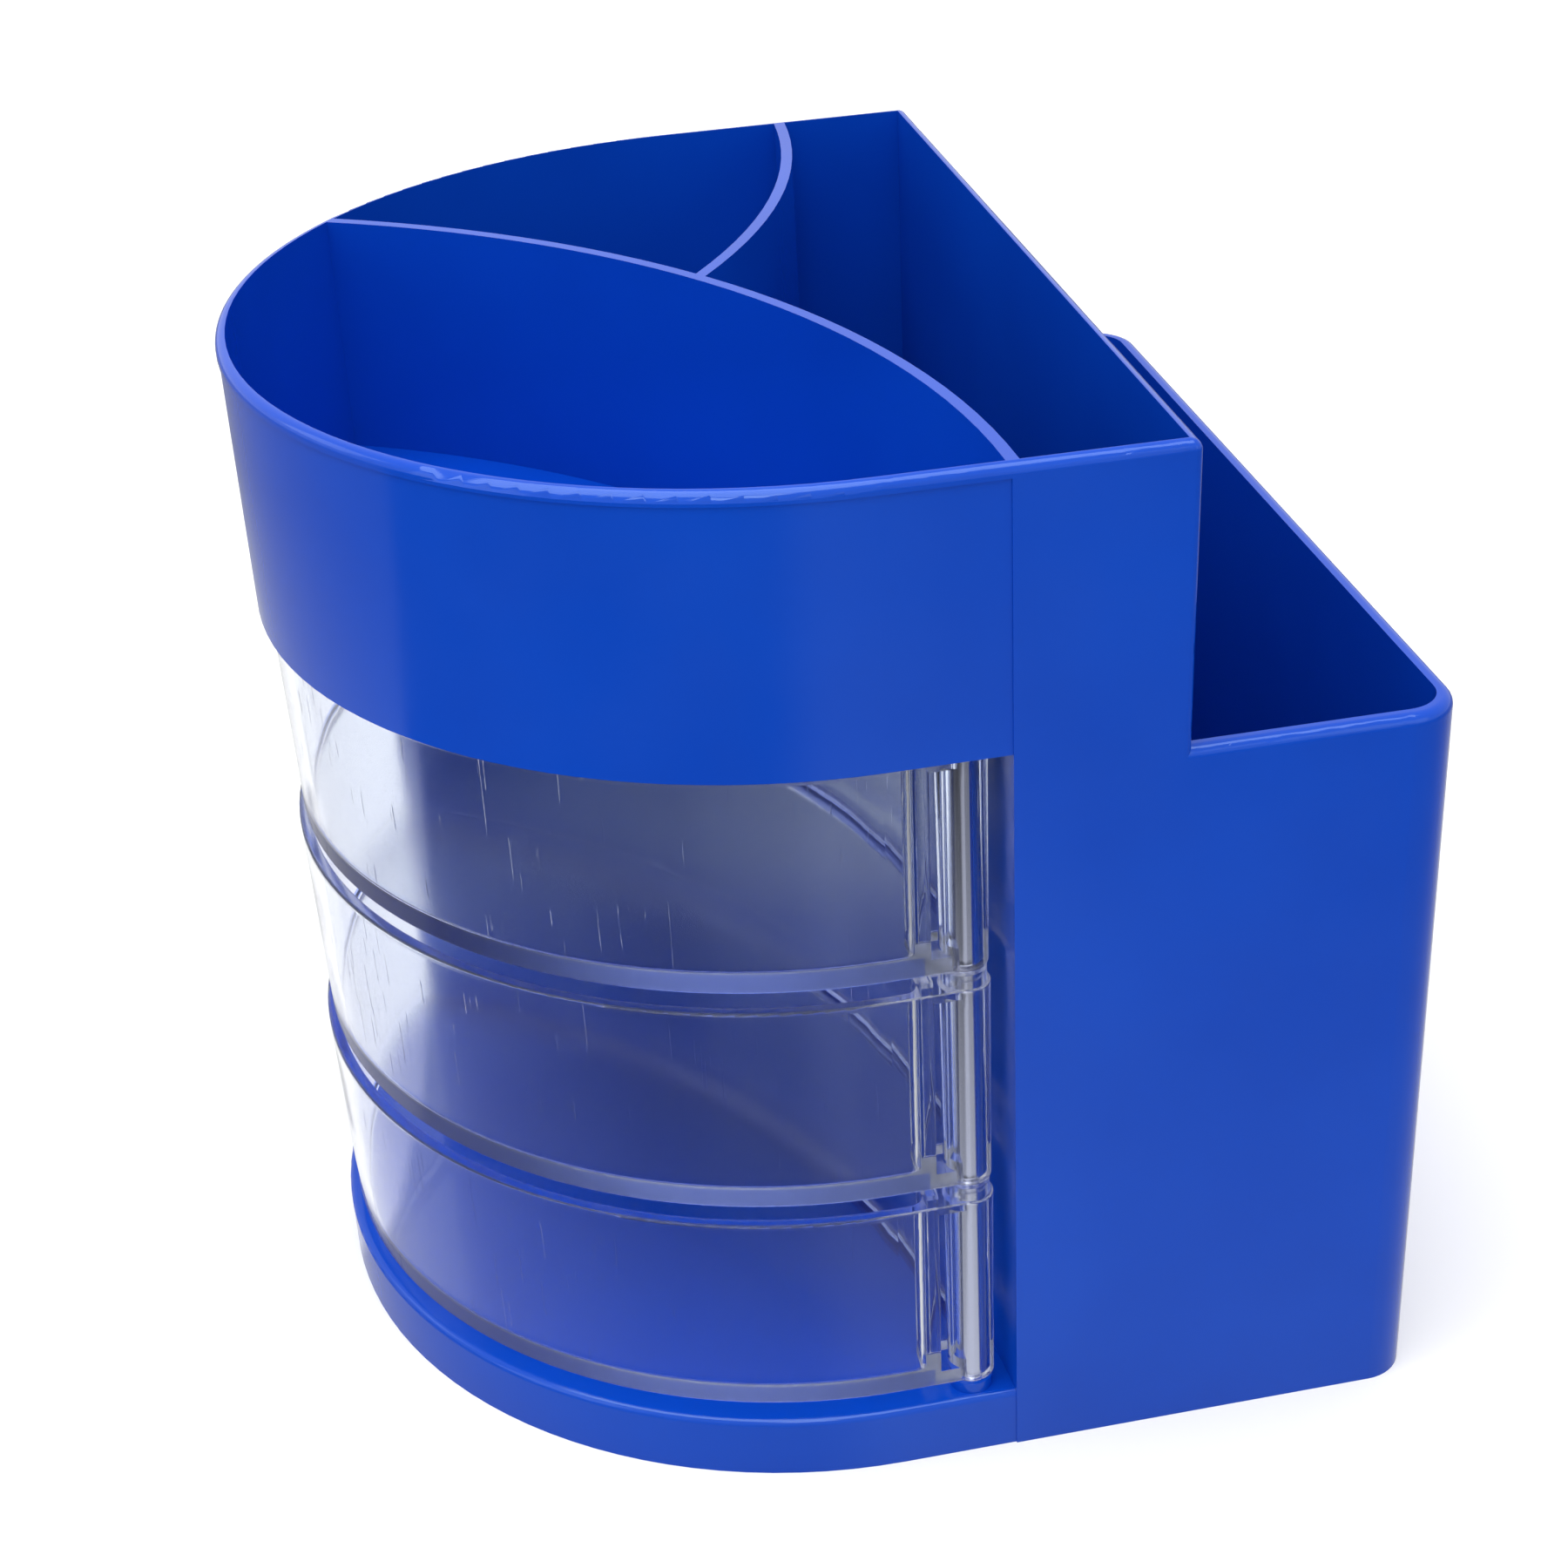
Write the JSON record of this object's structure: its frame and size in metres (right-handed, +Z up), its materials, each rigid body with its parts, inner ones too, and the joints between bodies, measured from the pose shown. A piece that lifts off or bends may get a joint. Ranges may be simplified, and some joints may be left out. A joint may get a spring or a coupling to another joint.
{
  "type": "desk pen holder with swing drawers",
  "caption": "Half-round desk pen holder with two deep cups, a shallow front cup, a rear tray and stacked clear crescent drawers that swing out on one upright rod.",
  "frame": {"origin": "on the table, under the middle of the overall width and depth", "axes": "+Z up, -Y towards the half-round front with the drawers, +X towards the hinge rod"},
  "size_m": [0.1216, 0.1242, 0.125],
  "materials": {
    "blue_polystyrene": "glossy moulded plastic",
    "clear_polystyrene": "clear glossy moulded plastic",
    "steel_wire": "bright drawn steel wire"
  },
  "bodies": {
    "organizer": {"organizer_body": "blue_polystyrene", "hinge_rod": "steel_wire"},
    "drawer_top": {"drawer_top": "clear_polystyrene"},
    "drawer_middle": {"drawer_middle": "clear_polystyrene"},
    "drawer_bottom": {"drawer_bottom": "clear_polystyrene"}
  },
  "joints": [
    {"name": "drawer_top_swing", "type": "hinge", "parent": "organizer", "child": "drawer_top", "pos_m": [0.0563, 0.00751, 0.0661], "axis": [0, 0, 1], "range_deg": [0, 105]},
    {"name": "drawer_middle_swing", "type": "hinge", "parent": "organizer", "child": "drawer_middle", "pos_m": [0.0563, 0.00751, 0.0378], "axis": [0, 0, 1], "range_deg": [0, 105]},
    {"name": "drawer_bottom_swing", "type": "hinge", "parent": "organizer", "child": "drawer_bottom", "pos_m": [0.0563, 0.00751, 0.0095], "axis": [0, 0, 1], "range_deg": [0, 105]}
  ]
}
